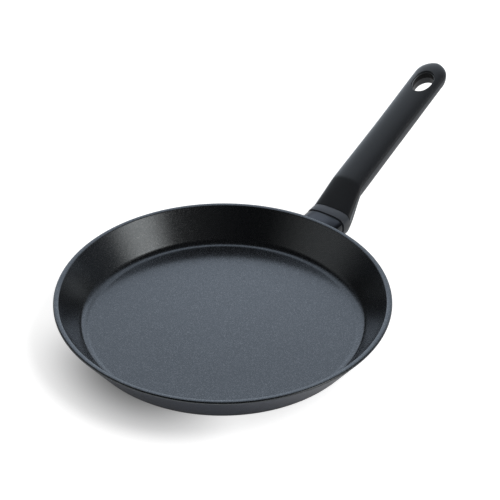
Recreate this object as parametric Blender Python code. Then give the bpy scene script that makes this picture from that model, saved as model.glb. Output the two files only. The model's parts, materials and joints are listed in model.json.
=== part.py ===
"""Pancake pan: forged body with an induction plate, wall boss, flame guard and two-part handle.

Units are metres, +Z is up, and the base rests on z = 0.
The handle runs along +X from the pan's axis, which is the Z axis.
"""

import math

import bmesh
import bpy
from mathutils import Matrix, Vector

MM = 0.001

# Fits
FIT_GAP = 0.3 * MM              # clearance between neighbouring pieces
CUT_MARGIN = 4.0 * MM           # how far a cutter runs past what it cuts
WELD_DISTANCE = 0.001 * MM      # points closer than this are one point

# Pan body
RIM_RADIUS = 125.0 * MM
BOWL_DEPTH = 26.0 * MM
FLOOR_THICKNESS = 4.0 * MM
RIM_HEIGHT = BOWL_DEPTH + FLOOR_THICKNESS
RIM_LAND = 3.8 * MM             # width of the flat top of the rim
RIM_ROUND = 1.2 * MM            # rounding of the rim's outer corner
RIM_FACE = 0.3 * MM             # upright face under that rounding
RIM_EDGE_DROP = RIM_ROUND + RIM_FACE
INNER_EDGE_BREAK = 0.3 * MM
INNER_RIM_RADIUS = RIM_RADIUS - RIM_LAND
WALL_SPREAD = 16.6 * MM         # how far the inner wall leans out from floor to rim
WALL_FOOT = 2.35 * MM           # metal beside the floor's corner
FLOOR_RADIUS = INNER_RIM_RADIUS - WALL_SPREAD
FLOOR_FILLET = 9.0 * MM
OUTER_LEAN = (RIM_RADIUS - FLOOR_RADIUS - WALL_FOOT) / (BOWL_DEPTH - RIM_EDGE_DROP)
BASE_RADIUS = FLOOR_RADIUS + WALL_FOOT - OUTER_LEAN * FLOOR_THICKNESS
BASE_ROUND = 8.0 * MM
OUTER_TURN = math.atan2(1.0, OUTER_LEAN)
BASE_FLAT_RADIUS = BASE_RADIUS - BASE_ROUND * math.tan(OUTER_TURN / 2.0)
BODY_SEGMENTS = 96
FLOOR_FILLET_STEPS = 6
RIM_ROUND_STEPS = 4
BASE_ROUND_STEPS = 5

# Induction plate in the base
BASE_LAND = 3.7 * MM            # ring of body metal round the plate that rests on the hob
PLATE_RADIUS = BASE_FLAT_RADIUS - BASE_LAND - FIT_GAP
PLATE_THICKNESS = 0.6 * MM
PEG_RADIUS = 2.6 * MM           # metal of the body that fills the plate's holes
PEG_SIDES = 10
PEG_ROOT = 1.2 * MM             # how deep a peg is rooted in the body
PEG_FIRST_RING = 26.0 * MM
PEG_EDGE_MARGIN = 8.0 * MM      # from the last ring of pegs to the plate's edge
PEG_RINGS = 5
PEG_RING_STEP = (PLATE_RADIUS - PEG_EDGE_MARGIN - PEG_FIRST_RING) / (PEG_RINGS - 1)
PEG_FIRST_COUNT = 8
PEG_COUNT_STEP = 4

# Handle heights
BAND_TOP_DROP = 2.0 * MM        # top of the band below the rim
BAND_TOP_Z = RIM_HEIGHT - BAND_TOP_DROP
BAND_TOP_RISE = 0.5 * MM
NECK_RISE = 17.1 * MM           # from the band's far edge up to the crease
CREASE_TOP_Z = BAND_TOP_Z + BAND_TOP_RISE + NECK_RISE
BAND_BOTTOM_Z = 5.4 * MM
BELLY_BOTTOM_Z = 3.6 * MM       # lowest point of the handle, just behind the band
BAND_CROWN = 9.0 * MM           # height of the upper arch above the parting line
GRIP_CROWN = 5.8 * MM
KINK_DEPTH = 13.8 * MM          # depth of the lower arch below the parting line
MIDDLE_DEPTH = 13.5 * MM
TIP_DEPTH = 10.5 * MM

# Joint between guard, spigot and core
GUARD_WALL = 1.2 * MM
GUARD_SETBACK = 0.5 * MM        # guard's surface below the band's surface
GUARD_REACH = 13.3 * MM         # from the rim to the guard's outer end
GUARD_END_X = RIM_RADIUS + GUARD_REACH
SPIGOT_LENGTH = 5.0 * MM
SPIGOT_WALL = 2.5 * MM          # plastic between boss and guard, above and below the boss
SPIGOT_INSET = GUARD_SETBACK + GUARD_WALL + FIT_GAP

# Handle stations along X
BAND_LINE = 1.1 * MM            # open line between guard and band
HANDLE_START_X = GUARD_END_X + BAND_LINE
BAND_LENGTH = 8.6 * MM
BAND_END_X = HANDLE_START_X + BAND_LENGTH
BELLY_LENGTH = 3.0 * MM         # level stretch of the underside behind the band
UNDERSIDE_TURN_X = BAND_END_X + BELLY_LENGTH
NECK_LENGTH = 22.0 * MM
CREASE_X = BAND_END_X + NECK_LENGTH
KINK_OFFSET = 4.0 * MM          # bend of the underside past the crease
KINK_X = CREASE_X + KINK_OFFSET
WAIST_OFFSET = 58.0 * MM        # from the bend to where the grip is slimmest
MIDDLE_X = KINK_X + WAIST_OFFSET
GRIP_LENGTH = 140.5 * MM
TIP_X = CREASE_X + GRIP_LENGTH
TIP_ROUND_LENGTH = 13.0 * MM
TIP_START_X = TIP_X - TIP_ROUND_LENGTH
GRIP_SLOPE = math.radians(18.9)

# Handle widths, each half of the full width
BAND_HALF_WIDTH = 17.5 * MM
CREASE_HALF_WIDTH = 13.8 * MM
GRIP_HALF_WIDTH = 13.5 * MM
TIP_HALF_WIDTH = 14.1 * MM

# Arch shapes of the handle's cross-section
BAND_UPPER_POWER = 3.2
GRIP_UPPER_POWER = 2.3
BAND_LOWER_POWER = 2.3
GRIP_LOWER_POWER = 2.6
ARCH_STEPS = 14
NECK_STEPS = 7
GRIP_STEPS = 12
TIP_STEPS = 8
TIP_CROWN_SHARE = 0.35          # arch heights left at the very tip
TIP_DEPTH_SHARE = 0.55

# Soft cover on the handle core
COVER_THICKNESS = 2.4 * MM
COVER_TIP_SHARE = 0.4           # thickness near the tip as a share of the width left

# Hanging hole
HOLE_SETBACK = 22.5 * MM        # from the hole's centre to the tip
HOLE_CENTRE_X = TIP_X - HOLE_SETBACK
HOLE_LENGTH_TIP_SIDE = 10.6 * MM
HOLE_LENGTH_PAN_SIDE = 13.0 * MM
HOLE_HALF_WIDTH = 8.2 * MM
HOLE_TOP_ROUND = 1.0 * MM
HOLE_BOTTOM_ROUND = 2.4 * MM
HOLE_EDGE_FALL = 1.2 * MM       # how far the grip's arch has fallen beside the hole
HOLE_SIDES = 40
HOLE_ROUND_STEPS = 4

# Wall boss on the screw axis
SCREW_AXIS_Z = (BAND_TOP_Z + BAND_BOTTOM_Z) / 2.0
BOSS_WIDTH = 18.0 * MM
BOSS_HEIGHT = BAND_TOP_Z - BAND_BOTTOM_Z - 2.0 * (SPIGOT_INSET + SPIGOT_WALL + FIT_GAP)
BOSS_CORNER = 3.0 * MM
BOSS_CORNER_STEPS = 4
BOSS_REACH = 2.7 * MM           # boss past the guard's end, inside the handle
BOSS_END_X = GUARD_END_X + BOSS_REACH
BOSS_FLOOR = 8.7 * MM           # metal between the pan's wall and the threaded bore

# Screw and washers
SCREW_RADIUS = 2.5 * MM
SCREW_CHAMFER = 0.5 * MM
SCREW_END_ROOM = 2.0 * MM       # bore left free past the screw's end
HEAD_RADIUS = 4.7 * MM
HEAD_HEIGHT = 3.1 * MM
HEAD_ROUND = 0.8 * MM
HEAD_ROUND_STEPS = 4
RECESS_LENGTH = 5.4 * MM
RECESS_WIDTH = 1.2 * MM
RECESS_DEPTH = 1.7 * MM
RECESS_TAPER = 0.55             # size of the recess at its bottom against its mouth
WASHER_MARGIN = 0.7 * MM        # flat washer past the screw's head
WASHER_RADIUS = HEAD_RADIUS + WASHER_MARGIN
WASHER_THICKNESS = 1.0 * MM
LOCK_INSET = 0.1 * MM           # spring washer inside the screw's head
LOCK_RADIUS = HEAD_RADIUS - LOCK_INSET
LOCK_THICKNESS = 1.2 * MM
LOCK_SLOT_ANGLE = math.radians(16.0)
POCKET_CLEARANCE = 0.9 * MM     # room round the flat washer in the pocket
POCKET_RADIUS = WASHER_RADIUS + POCKET_CLEARANCE
SEAT_WEB = 5.7 * MM             # plastic that the screw clamps
SEAT_X = BOSS_END_X + FIT_GAP + SEAT_WEB
ROUND_SIDES = 32


def clear_scene():
    for item in list(bpy.data.objects):
        bpy.data.objects.remove(item, do_unlink=True)


def make_material(name, colour, roughness, metallic):
    material = bpy.data.materials.new(name)
    material.use_nodes = True
    shader = material.node_tree.nodes["Principled BSDF"]
    shader.inputs["Base Color"].default_value = (*colour, 1.0)
    shader.inputs["Roughness"].default_value = roughness
    shader.inputs["Metallic"].default_value = metallic
    return material


def make_object(name, shell, material, smooth_angle=math.radians(32.0)):
    """Turn a finished bmesh into a named object with its faces outwards."""
    bmesh.ops.recalc_face_normals(shell, faces=shell.faces)
    mesh = bpy.data.meshes.new(name)
    shell.to_mesh(mesh)
    shell.free()
    item = bpy.data.objects.new(name, mesh)
    bpy.context.scene.collection.objects.link(item)
    mesh.materials.append(material)
    mesh.shade_smooth()
    mesh.set_sharp_from_angle(angle=smooth_angle)
    return item


def make_cutter(name, shell, material):
    item = make_object(name, shell, material)
    item.hide_render = True
    item.display_type = "WIRE"
    return item


def add_boolean(item, cutter, operation):
    modifier = item.modifiers.new(operation.title() + cutter.name, "BOOLEAN")
    modifier.operation = operation
    modifier.object = cutter
    modifier.solver = "EXACT"


def turned(profile, segments, ring=False):
    """Spin (radius, height) points about Z; a ring's profile is closed, any other ends on the axis."""
    shell = bmesh.new()
    points = [shell.verts.new((radius, 0.0, height)) for radius, height in profile]
    edges = [shell.edges.new(pair) for pair in zip(points, points[1:])]
    if ring:
        edges.append(shell.edges.new((points[-1], points[0])))
    bmesh.ops.spin(
        shell,
        geom=points + edges,
        cent=(0.0, 0.0, 0.0),
        axis=(0.0, 0.0, 1.0),
        angle=2.0 * math.pi,
        steps=segments,
        use_merge=True,
    )
    bmesh.ops.remove_doubles(shell, verts=shell.verts, dist=WELD_DISTANCE)
    return shell


def loft(sections, capped=True):
    """Skin closed loops that have equal counts; without caps, the last joins the first."""
    shell = bmesh.new()
    loops = [[shell.verts.new(point) for point in section] for section in sections]
    pairs = list(zip(loops, loops[1:]))
    if capped:
        shell.faces.new(loops[0])
        shell.faces.new(loops[-1])
    else:
        pairs.append((loops[-1], loops[0]))
    for low, high in pairs:
        for step in range(len(low)):
            after = (step + 1) % len(low)
            shell.faces.new((low[step], low[after], high[after], high[step]))
    return shell


def corner_arc(corner_x, corner_z, radius, start, end, steps):
    """Points of an arc round (corner_x, corner_z) from angle start to angle end."""
    points = []
    for step in range(steps + 1):
        turn = start + (end - start) * step / steps
        points.append((corner_x + radius * math.cos(turn), corner_z + radius * math.sin(turn)))
    return points


def outer_wall_radius(height):
    """Radius of the pan's outer wall at a height, on its straight part."""
    return BASE_RADIUS + OUTER_LEAN * height


def body_profile():
    """The pan's half section from the middle of the floor, over the rim, to the base."""
    quarter = math.pi / 2.0
    wall_turn = math.atan2(BOWL_DEPTH, WALL_SPREAD)
    fillet_x = FLOOR_RADIUS - FLOOR_FILLET * math.tan(wall_turn / 2.0)
    fillet_z = FLOOR_THICKNESS + FLOOR_FILLET
    fillet_end = wall_turn - quarter
    points = [(0.0, FLOOR_THICKNESS)]
    points += corner_arc(fillet_x, fillet_z, FLOOR_FILLET, -quarter, fillet_end, FLOOR_FILLET_STEPS)
    break_x = INNER_RIM_RADIUS - INNER_EDGE_BREAK * math.cos(wall_turn)
    break_z = RIM_HEIGHT - INNER_EDGE_BREAK * math.sin(wall_turn)
    points.append((break_x, break_z))
    points.append((INNER_RIM_RADIUS + INNER_EDGE_BREAK, RIM_HEIGHT))
    round_x = RIM_RADIUS - RIM_ROUND
    points += corner_arc(round_x, RIM_HEIGHT - RIM_ROUND, RIM_ROUND, quarter, 0.0, RIM_ROUND_STEPS)
    points.append((RIM_RADIUS, RIM_HEIGHT - RIM_EDGE_DROP))
    wall_end = OUTER_TURN - quarter
    points += corner_arc(BASE_FLAT_RADIUS, BASE_ROUND, BASE_ROUND, wall_end, -quarter, BASE_ROUND_STEPS)
    recess_x = PLATE_RADIUS + FIT_GAP
    recess_z = PLATE_THICKNESS + FIT_GAP
    points += [(recess_x, 0.0), (recess_x, recess_z), (0.0, recess_z)]
    return points


def peg_centres():
    """Ring by ring positions of the holes in the induction plate."""
    centres = []
    for ring in range(PEG_RINGS):
        radius = PEG_FIRST_RING + PEG_RING_STEP * ring
        count = PEG_FIRST_COUNT + PEG_COUNT_STEP * ring
        for step in range(count):
            turn = 2.0 * math.pi * (step + 0.5 * (ring % 2)) / count
            centres.append((radius * math.cos(turn), radius * math.sin(turn)))
    return centres


def pegs_shell(radius, low, high):
    """One upright cylinder at each peg centre."""
    shell = bmesh.new()
    for x, y in peg_centres():
        bmesh.ops.create_cone(
            shell,
            cap_ends=True,
            segments=PEG_SIDES,
            radius1=radius,
            radius2=radius,
            depth=high - low,
            matrix=Matrix.Translation((x, y, (low + high) / 2.0)),
        )
    return shell


def blend(value, start, end):
    """Smooth 0 to 1 step between two positions."""
    share = min(max((value - start) / (end - start), 0.0), 1.0)
    return share * share * (3.0 - 2.0 * share)


def mix(first, second, share):
    return first + (second - first) * share


def tip_share(x):
    """1 along the grip, falling to 0 at the very tip as a quarter ellipse."""
    reach = max(x - TIP_START_X, 0.0) / TIP_ROUND_LENGTH
    return math.sqrt(max(1.0 - min(reach, 1.0) ** 2, 0.0))


def top_height(x):
    grip = CREASE_TOP_Z + math.tan(GRIP_SLOPE) * (x - CREASE_X)
    if x >= CREASE_X:
        return grip
    band_end = BAND_TOP_Z + BAND_TOP_RISE
    if x >= BAND_END_X:
        return mix(band_end, CREASE_TOP_Z, (x - BAND_END_X) / (CREASE_X - BAND_END_X))
    share = max((x - HANDLE_START_X) / (BAND_END_X - HANDLE_START_X), 0.0)
    return mix(BAND_TOP_Z, band_end, share)


def crown(x):
    return mix(BAND_CROWN, GRIP_CROWN, blend(x, BAND_END_X, CREASE_X))


def parting_height(x):
    return top_height(x) - crown(x)


def lower_depth(x):
    """Depth of the lower arch below the parting line."""
    if x < KINK_X:
        kink_bottom = parting_height(KINK_X) - KINK_DEPTH
        belly = mix(BAND_BOTTOM_Z, BELLY_BOTTOM_Z, blend(x, HANDLE_START_X, UNDERSIDE_TURN_X))
        rise = blend(x, UNDERSIDE_TURN_X, KINK_X)
        return parting_height(x) - mix(belly, kink_bottom, rise)
    depth = mix(KINK_DEPTH, MIDDLE_DEPTH, blend(x, KINK_X, MIDDLE_X))
    return mix(depth, TIP_DEPTH, blend(x, MIDDLE_X, TIP_START_X))


def half_width(x):
    along = min(max((x - BAND_END_X) / (CREASE_X - BAND_END_X), 0.0), 1.0)
    neck = mix(BAND_HALF_WIDTH, CREASE_HALF_WIDTH, along)
    grip = mix(neck, GRIP_HALF_WIDTH, blend(x, CREASE_X, MIDDLE_X))
    return mix(grip, TIP_HALF_WIDTH, blend(x, MIDDLE_X, TIP_START_X))


def arch(x, shape_x, inset, lower, lift=0.0):
    """One arch of the section, placed at x, shaped as at shape_x and drawn in by inset.

    The upper arch runs from +Y over the top, with its feet raised by lift.
    The lower arch runs from -Y under the bottom.
    """
    share = tip_share(shape_x)
    width = half_width(shape_x) * share - inset
    base = parting_height(shape_x) + lift
    along_neck = blend(shape_x, BAND_END_X, CREASE_X)
    if lower:
        height = inset - lower_depth(shape_x) * mix(TIP_DEPTH_SHARE, 1.0, share)
        power = mix(BAND_LOWER_POWER, GRIP_LOWER_POWER, along_neck)
    else:
        height = crown(shape_x) * mix(TIP_CROWN_SHARE, 1.0, share) - inset - lift
        power = mix(BAND_UPPER_POWER, GRIP_UPPER_POWER, along_neck)
    points = []
    for step in range(ARCH_STEPS + 1):
        turn = math.pi * step / ARCH_STEPS
        across = math.copysign(abs(math.cos(turn)) ** (2.0 / power), math.cos(turn))
        rise = math.sin(turn) ** (2.0 / power)
        side = -across if lower else across
        points.append((x, width * side, base + height * rise))
    return points


def full_section(x, shape_x, inset=0.0):
    """Whole closed outline of the handle: upper arch, then lower arch."""
    return arch(x, shape_x, inset, False)[:-1] + arch(x, shape_x, inset, True)[:-1]


def cover_depth(x):
    return min(COVER_THICKNESS, COVER_TIP_SHARE * half_width(x) * tip_share(x))


def core_section(x):
    """Core under the cover: a hump, two ledges at the parting line and the lower arch."""
    depth = cover_depth(x) + FIT_GAP
    return arch(x, x, depth, False) + arch(x, x, 0.0, True)


def core_full_section(x, shape_x, inset=0.0):
    """The same count of points as core_section, on the full outline."""
    return arch(x, shape_x, inset, False) + arch(x, shape_x, inset, True)


def cover_section(x):
    outer = arch(x, x, 0.0, False, FIT_GAP)
    inner = arch(x, x, cover_depth(x), False, FIT_GAP)
    return outer + list(reversed(inner))


def grip_stations(start):
    """Positions along the handle from start to the tip, closer at the bends and the tip."""
    stations = [mix(start, CREASE_X, step / NECK_STEPS) for step in range(NECK_STEPS + 1)]
    for step in range(GRIP_STEPS + 1):
        stations.append(mix(KINK_X, TIP_START_X, step / GRIP_STEPS))
    for step in range(1, TIP_STEPS):
        reach = math.sin(math.pi / 2.0 * step / TIP_STEPS)
        stations.append(TIP_START_X + TIP_ROUND_LENGTH * reach)
    return stations


def wall_loop(section):
    """Move a section's points back until they sit a fit gap off the pan's outer wall."""
    lean_gap = FIT_GAP * math.hypot(1.0, OUTER_LEAN)
    moved = []
    for _, y, z in section:
        radius = outer_wall_radius(z) + lean_gap
        moved.append((math.sqrt(radius * radius - y * y), y, z))
    return moved


def boss_section(x, grow, share=1.0):
    """Rounded block outline round the screw axis, grown by a margin and drawn in to a share."""
    half_y = BOSS_WIDTH / 2.0 + grow - BOSS_CORNER
    half_z = BOSS_HEIGHT / 2.0 + grow - BOSS_CORNER
    points = []
    for quarter in range(4):
        side_y = 1.0 if quarter in (0, 3) else -1.0
        side_z = 1.0 if quarter in (0, 1) else -1.0
        for step in range(BOSS_CORNER_STEPS + 1):
            turn = math.pi / 2.0 * (quarter + step / BOSS_CORNER_STEPS)
            y = side_y * half_y + BOSS_CORNER * math.cos(turn)
            z = side_z * half_z + BOSS_CORNER * math.sin(turn)
            points.append((x, y * share, SCREW_AXIS_Z + z * share))
    return points


def bore_start():
    """Inner end of the threaded bore in the boss."""
    return outer_wall_radius(SCREW_AXIS_Z) + BOSS_FLOOR


def round_bar(start_x, end_x, radius):
    """A cylinder on the screw axis."""
    shell = bmesh.new()
    middle = Matrix.Translation(((start_x + end_x) / 2.0, 0.0, SCREW_AXIS_Z))
    bmesh.ops.create_cone(
        shell,
        cap_ends=True,
        segments=ROUND_SIDES,
        radius1=radius,
        radius2=radius,
        depth=end_x - start_x,
        matrix=middle @ Matrix.Rotation(math.pi / 2.0, 4, "Y"),
    )
    return shell


def hole_loop(level, widen):
    """Egg outline of the hanging hole, square to the grip, at a level above the parting line."""
    tilt = Matrix.Rotation(-GRIP_SLOPE, 4, "Y")
    centre = Matrix.Translation((HOLE_CENTRE_X, 0.0, parting_height(HOLE_CENTRE_X)))
    loop = []
    for step in range(HOLE_SIDES):
        turn = 2.0 * math.pi * step / HOLE_SIDES
        reach = HOLE_LENGTH_TIP_SIDE if math.cos(turn) > 0.0 else HOLE_LENGTH_PAN_SIDE
        along = (reach + widen) * math.cos(turn)
        across = (HOLE_HALF_WIDTH + widen) * math.sin(turn)
        loop.append(centre @ tilt @ Vector((along, across, level)))
    return loop


def hole_cutter():
    """Hanging hole with a rounded edge at each mouth."""
    top = crown(HOLE_CENTRE_X) - HOLE_EDGE_FALL
    bottom = -lower_depth(HOLE_CENTRE_X) * math.cos(GRIP_SLOPE)
    sections = [hole_loop(bottom - CUT_MARGIN, HOLE_BOTTOM_ROUND)]
    turns = [math.pi / 2.0 * step / HOLE_ROUND_STEPS for step in range(HOLE_ROUND_STEPS + 1)]
    for turn in turns:
        level = bottom + HOLE_BOTTOM_ROUND * (1.0 - math.cos(turn))
        sections.append(hole_loop(level, HOLE_BOTTOM_ROUND * (1.0 - math.sin(turn))))
    for turn in turns:
        level = top - HOLE_TOP_ROUND * (1.0 - math.sin(turn))
        sections.append(hole_loop(level, HOLE_TOP_ROUND * (1.0 - math.cos(turn))))
    sections.append(hole_loop(top + CUT_MARGIN, HOLE_TOP_ROUND))
    return loft(sections)


def cross_cutter(low, high):
    """Cross-shaped recess for a driver, about Z."""
    half_long = RECESS_LENGTH / 2.0
    half_thin = RECESS_WIDTH / 2.0
    quadrant = [(half_long, -half_thin), (half_long, half_thin), (half_thin, half_thin)]
    outline = []
    for quarter in range(4):
        cosine = round(math.cos(math.pi / 2.0 * quarter))
        sine = round(math.sin(math.pi / 2.0 * quarter))
        for x, y in quadrant:
            outline.append((cosine * x - sine * y, sine * x + cosine * y))
    sections = []
    for height, share in ((low, RECESS_TAPER), (high, 1.0), (high + RECESS_DEPTH, 1.0)):
        sections.append([(x * share, y * share, height) for x, y in outline])
    return loft(sections)


def split_ring(inner, outer, thickness):
    """A flat ring about Z with one narrow slot."""
    sections = []
    for step in range(ROUND_SIDES + 1):
        turn = LOCK_SLOT_ANGLE / 2.0 + (2.0 * math.pi - LOCK_SLOT_ANGLE) * step / ROUND_SIDES
        loop = []
        for radius, height in ((inner, 0.0), (outer, 0.0), (outer, thickness), (inner, thickness)):
            loop.append((radius * math.cos(turn), radius * math.sin(turn), height))
        sections.append(loop)
    return loft(sections)


def place_on_screw_axis(item, x):
    """Turn an object made about Z so that its Z runs along +X, at x on the screw axis."""
    item.rotation_euler = (0.0, math.pi / 2.0, 0.0)
    item.location = (x, 0.0, SCREW_AXIS_Z)


def build_body(coating, plate_metal):
    body = make_object("pan_body", turned(body_profile(), BODY_SEGMENTS), coating)
    peg_top = PLATE_THICKNESS + FIT_GAP + PEG_ROOT
    pegs = make_cutter("peg_blanks", pegs_shell(PEG_RADIUS, 0.0, peg_top), coating)
    add_boolean(body, pegs, "UNION")
    plate_profile = [(0.0, 0.0), (PLATE_RADIUS, 0.0)]
    plate_profile += [(PLATE_RADIUS, PLATE_THICKNESS), (0.0, PLATE_THICKNESS)]
    plate = make_object("induction_plate", turned(plate_profile, BODY_SEGMENTS), plate_metal)
    punch_top = PLATE_THICKNESS + PEG_ROOT
    punch_shell = pegs_shell(PEG_RADIUS + FIT_GAP, -PEG_ROOT, punch_top)
    punch = make_cutter("plate_punch", punch_shell, plate_metal)
    add_boolean(plate, punch, "DIFFERENCE")


def build_boss_and_guard(boss_metal, guard_metal):
    sections = [wall_loop(boss_section(BOSS_END_X, 0.0, share)) for share in (0.1, 0.55, 1.0)]
    sections.append(boss_section(BOSS_END_X, 0.0))
    boss = make_object("wall_boss", loft(sections), boss_metal)
    bore = round_bar(bore_start(), BOSS_END_X + CUT_MARGIN, SCREW_RADIUS + FIT_GAP)
    add_boolean(boss, make_cutter("boss_bore", bore, boss_metal), "DIFFERENCE")
    outer = full_section(GUARD_END_X, HANDLE_START_X, GUARD_SETBACK)
    inner = full_section(GUARD_END_X, HANDLE_START_X, SPIGOT_INSET - FIT_GAP)
    rings = [wall_loop(outer), outer, inner, wall_loop(inner)]
    make_object("flame_guard", loft(rings, capped=False), guard_metal)


def build_handle(core_plastic, cover_plastic):
    spigot_start = HANDLE_START_X - SPIGOT_LENGTH
    sections = [
        core_full_section(spigot_start, HANDLE_START_X, SPIGOT_INSET),
        core_full_section(HANDLE_START_X, HANDLE_START_X, SPIGOT_INSET),
        core_full_section(HANDLE_START_X, HANDLE_START_X),
        core_full_section(BAND_END_X, BAND_END_X),
    ]
    for x in grip_stations(BAND_END_X):
        sections.append(core_section(x))
    core = make_object("handle_core", loft(sections), core_plastic)
    cover_sections = [cover_section(x) for x in grip_stations(BAND_END_X + FIT_GAP)]
    cover = make_object("grip_cover", loft(cover_sections), cover_plastic)
    add_boolean(core, make_cutter("core_hole", hole_cutter(), core_plastic), "DIFFERENCE")
    add_boolean(cover, make_cutter("cover_hole", hole_cutter(), cover_plastic), "DIFFERENCE")
    socket_end = BOSS_END_X + FIT_GAP
    socket = loft([boss_section(spigot_start - CUT_MARGIN, FIT_GAP), boss_section(socket_end, FIT_GAP)])
    add_boolean(core, make_cutter("boss_socket", socket, core_plastic), "DIFFERENCE")
    bore = round_bar(spigot_start, SEAT_X + CUT_MARGIN, SCREW_RADIUS + FIT_GAP)
    add_boolean(core, make_cutter("core_bore", bore, core_plastic), "DIFFERENCE")
    pocket = round_bar(SEAT_X, KINK_X + CUT_MARGIN, POCKET_RADIUS)
    add_boolean(core, make_cutter("head_pocket", pocket, core_plastic), "DIFFERENCE")


def build_fastener(steel):
    washer_x = SEAT_X + FIT_GAP
    lock_x = washer_x + WASHER_THICKNESS + FIT_GAP
    head_x = lock_x + LOCK_THICKNESS + FIT_GAP
    washer_bore = SCREW_RADIUS + FIT_GAP
    washer_profile = [(washer_bore, 0.0), (WASHER_RADIUS, 0.0)]
    washer_profile += [(WASHER_RADIUS, WASHER_THICKNESS), (washer_bore, WASHER_THICKNESS)]
    washer = make_object("flat_washer", turned(washer_profile, ROUND_SIDES, ring=True), steel)
    place_on_screw_axis(washer, washer_x)
    lock = make_object("lock_washer", split_ring(washer_bore, LOCK_RADIUS, LOCK_THICKNESS), steel)
    place_on_screw_axis(lock, lock_x)
    shank = head_x - bore_start() - SCREW_END_ROOM
    profile = [(0.0, -shank), (SCREW_RADIUS - SCREW_CHAMFER, -shank)]
    profile.append((SCREW_RADIUS, SCREW_CHAMFER - shank))
    profile += [(SCREW_RADIUS, 0.0), (HEAD_RADIUS, 0.0)]
    round_x = HEAD_RADIUS - HEAD_ROUND
    round_z = HEAD_HEIGHT - HEAD_ROUND
    profile += corner_arc(round_x, round_z, HEAD_ROUND, 0.0, math.pi / 2.0, HEAD_ROUND_STEPS)
    profile.append((0.0, HEAD_HEIGHT))
    screw = make_object("handle_screw", turned(profile, ROUND_SIDES), steel)
    place_on_screw_axis(screw, head_x)
    recess_solid = cross_cutter(HEAD_HEIGHT - RECESS_DEPTH, HEAD_HEIGHT)
    recess = make_cutter("driver_recess", recess_solid, steel)
    place_on_screw_axis(recess, head_x)
    add_boolean(screw, recess, "DIFFERENCE")


def main():
    clear_scene()
    coating = make_material("nonstick_coating", (0.020, 0.022, 0.026), 0.22, 0.0)
    plate_metal = make_material("induction_steel", (0.46, 0.46, 0.47), 0.34, 1.0)
    boss_metal = make_material("boss_aluminium", (0.62, 0.62, 0.64), 0.40, 1.0)
    guard_metal = make_material("guard_metal", (0.36, 0.38, 0.41), 0.30, 1.0)
    core_plastic = make_material("core_plastic", (0.060, 0.066, 0.074), 0.42, 0.0)
    cover_plastic = make_material("cover_plastic", (0.016, 0.017, 0.020), 0.48, 0.0)
    steel = make_material("fastener_steel", (0.55, 0.55, 0.57), 0.30, 1.0)
    build_body(coating, plate_metal)
    build_boss_and_guard(boss_metal, guard_metal)
    build_handle(core_plastic, cover_plastic)
    build_fastener(steel)


main()
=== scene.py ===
import json
from math import atan2, copysign, cos, hypot, pi, radians, sin, sqrt, tan

import bpy
from mathutils import Matrix, Vector

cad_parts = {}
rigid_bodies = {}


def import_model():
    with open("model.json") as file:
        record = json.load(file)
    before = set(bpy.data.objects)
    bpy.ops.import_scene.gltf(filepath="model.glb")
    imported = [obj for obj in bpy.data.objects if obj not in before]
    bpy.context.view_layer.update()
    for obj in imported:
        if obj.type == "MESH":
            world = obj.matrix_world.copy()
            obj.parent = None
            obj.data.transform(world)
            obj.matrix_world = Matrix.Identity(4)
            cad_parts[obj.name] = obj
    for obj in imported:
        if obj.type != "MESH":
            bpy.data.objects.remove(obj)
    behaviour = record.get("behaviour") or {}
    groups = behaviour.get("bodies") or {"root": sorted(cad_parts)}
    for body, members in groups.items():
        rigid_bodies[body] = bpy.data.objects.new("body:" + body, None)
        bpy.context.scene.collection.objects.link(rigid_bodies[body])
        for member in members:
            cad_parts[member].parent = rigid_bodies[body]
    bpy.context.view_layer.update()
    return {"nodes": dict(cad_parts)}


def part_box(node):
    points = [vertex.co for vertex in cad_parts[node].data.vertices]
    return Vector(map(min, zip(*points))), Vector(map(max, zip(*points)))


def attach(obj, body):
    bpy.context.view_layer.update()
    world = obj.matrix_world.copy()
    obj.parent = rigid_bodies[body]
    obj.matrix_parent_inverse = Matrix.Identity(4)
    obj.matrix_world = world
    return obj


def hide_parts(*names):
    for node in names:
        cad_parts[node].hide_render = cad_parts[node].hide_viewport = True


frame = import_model()
mm = 0.001
print("frame loaded:", len(frame["nodes"]), "nodes")


# Small helpers for modelling in edit mode

def deselectAll():
    if bpy.context.mode != "OBJECT":
        bpy.ops.object.mode_set(mode="OBJECT")
    for item in bpy.context.view_layer.objects:
        item.select_set(False)


def useOnly(piece):  # makes one piece the active and only selected object
    deselectAll()
    piece.select_set(True)
    bpy.context.view_layer.objects.active = piece


def edit(piece, kind="VERT"):  # edit mode with everything selected
    useOnly(piece)
    bpy.ops.object.mode_set(mode="EDIT")
    bpy.ops.mesh.select_mode(type=kind)
    bpy.ops.mesh.select_all(action="SELECT")


def pick(piece, kind, test):  # edit mode with only the edges or faces whose direction passes the test
    edit(piece, kind)
    bpy.ops.mesh.select_all(action="DESELECT")
    bpy.ops.object.mode_set(mode="OBJECT")
    mesh = piece.data
    if kind == "EDGE":
        for edge in mesh.edges:
            first, last = [mesh.vertices[end].co for end in edge.vertices]
            edge.select = test((last - first).normalized())
    else:
        for face in mesh.polygons:
            face.select = test(face.normal)
    bpy.ops.object.mode_set(mode="EDIT")


def added(name):  # names the primitive that was just added
    piece = bpy.context.active_object
    piece.name = name
    piece.data.name = name
    return piece


def settle(piece):  # puts a piece's place, turn and scale into its mesh
    useOnly(piece)
    bpy.ops.object.transform_apply(location=True, rotation=True, scale=True)


def copyOf(piece, name):
    twin = piece.copy()
    twin.data = piece.data.copy()
    twin.name = name
    bpy.context.scene.collection.objects.link(twin)
    return twin


def joined(pieces, name):
    useOnly(pieces[0])
    for piece in pieces[1:]:
        piece.select_set(True)
    bpy.ops.object.join()
    return added(name)


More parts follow.
